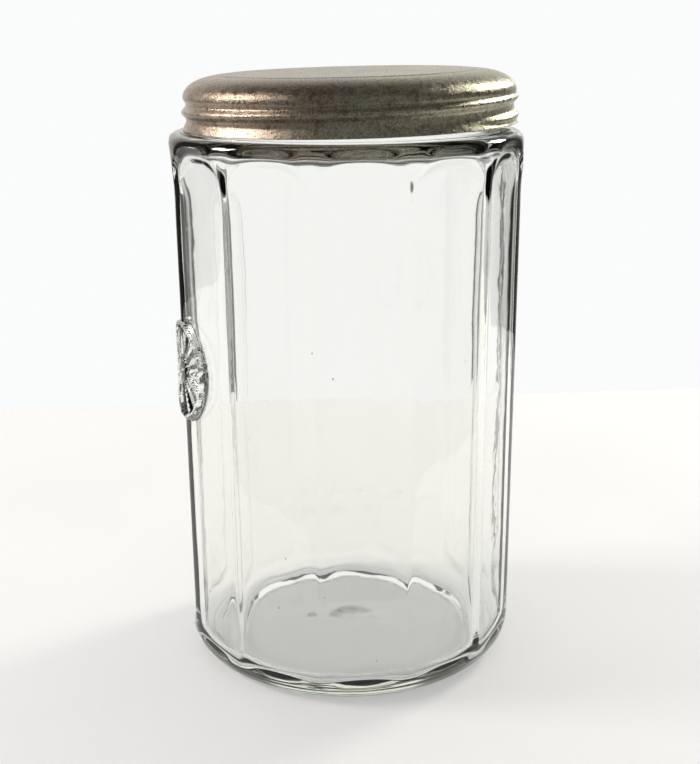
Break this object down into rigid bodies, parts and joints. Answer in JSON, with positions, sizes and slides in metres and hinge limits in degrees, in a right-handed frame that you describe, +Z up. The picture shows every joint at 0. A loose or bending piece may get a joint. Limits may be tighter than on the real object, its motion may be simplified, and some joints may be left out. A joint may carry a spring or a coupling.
{
  "type": "glass coffee canister",
  "caption": "Twelve-sided clear glass storage jar with arch-topped flat panels, a round shoulder, a raised rayed medallion and a thin sheet-metal screw cap with a rolled thread.",
  "frame": {"origin": "centre of the jar's foot, on the surface it stands on", "axes": "+Z up along the jar's axis, one flat panel faces -Y, the medallion lies across the ridge between the second and third panels round from it towards -X, and the cap sits a little off centre and cocked towards +X"},
  "size_m": [0.116, 0.116, 0.1978],
  "materials": {
    "clear_glass": "clear pressed glass, faintly green where it is thick",
    "aged_metal": "aged sheet metal, brown-grey and finely speckled"
  },
  "bodies": {
    "root": {"jar": "clear_glass", "lid": "aged_metal"}
  },
  "joints": []
}
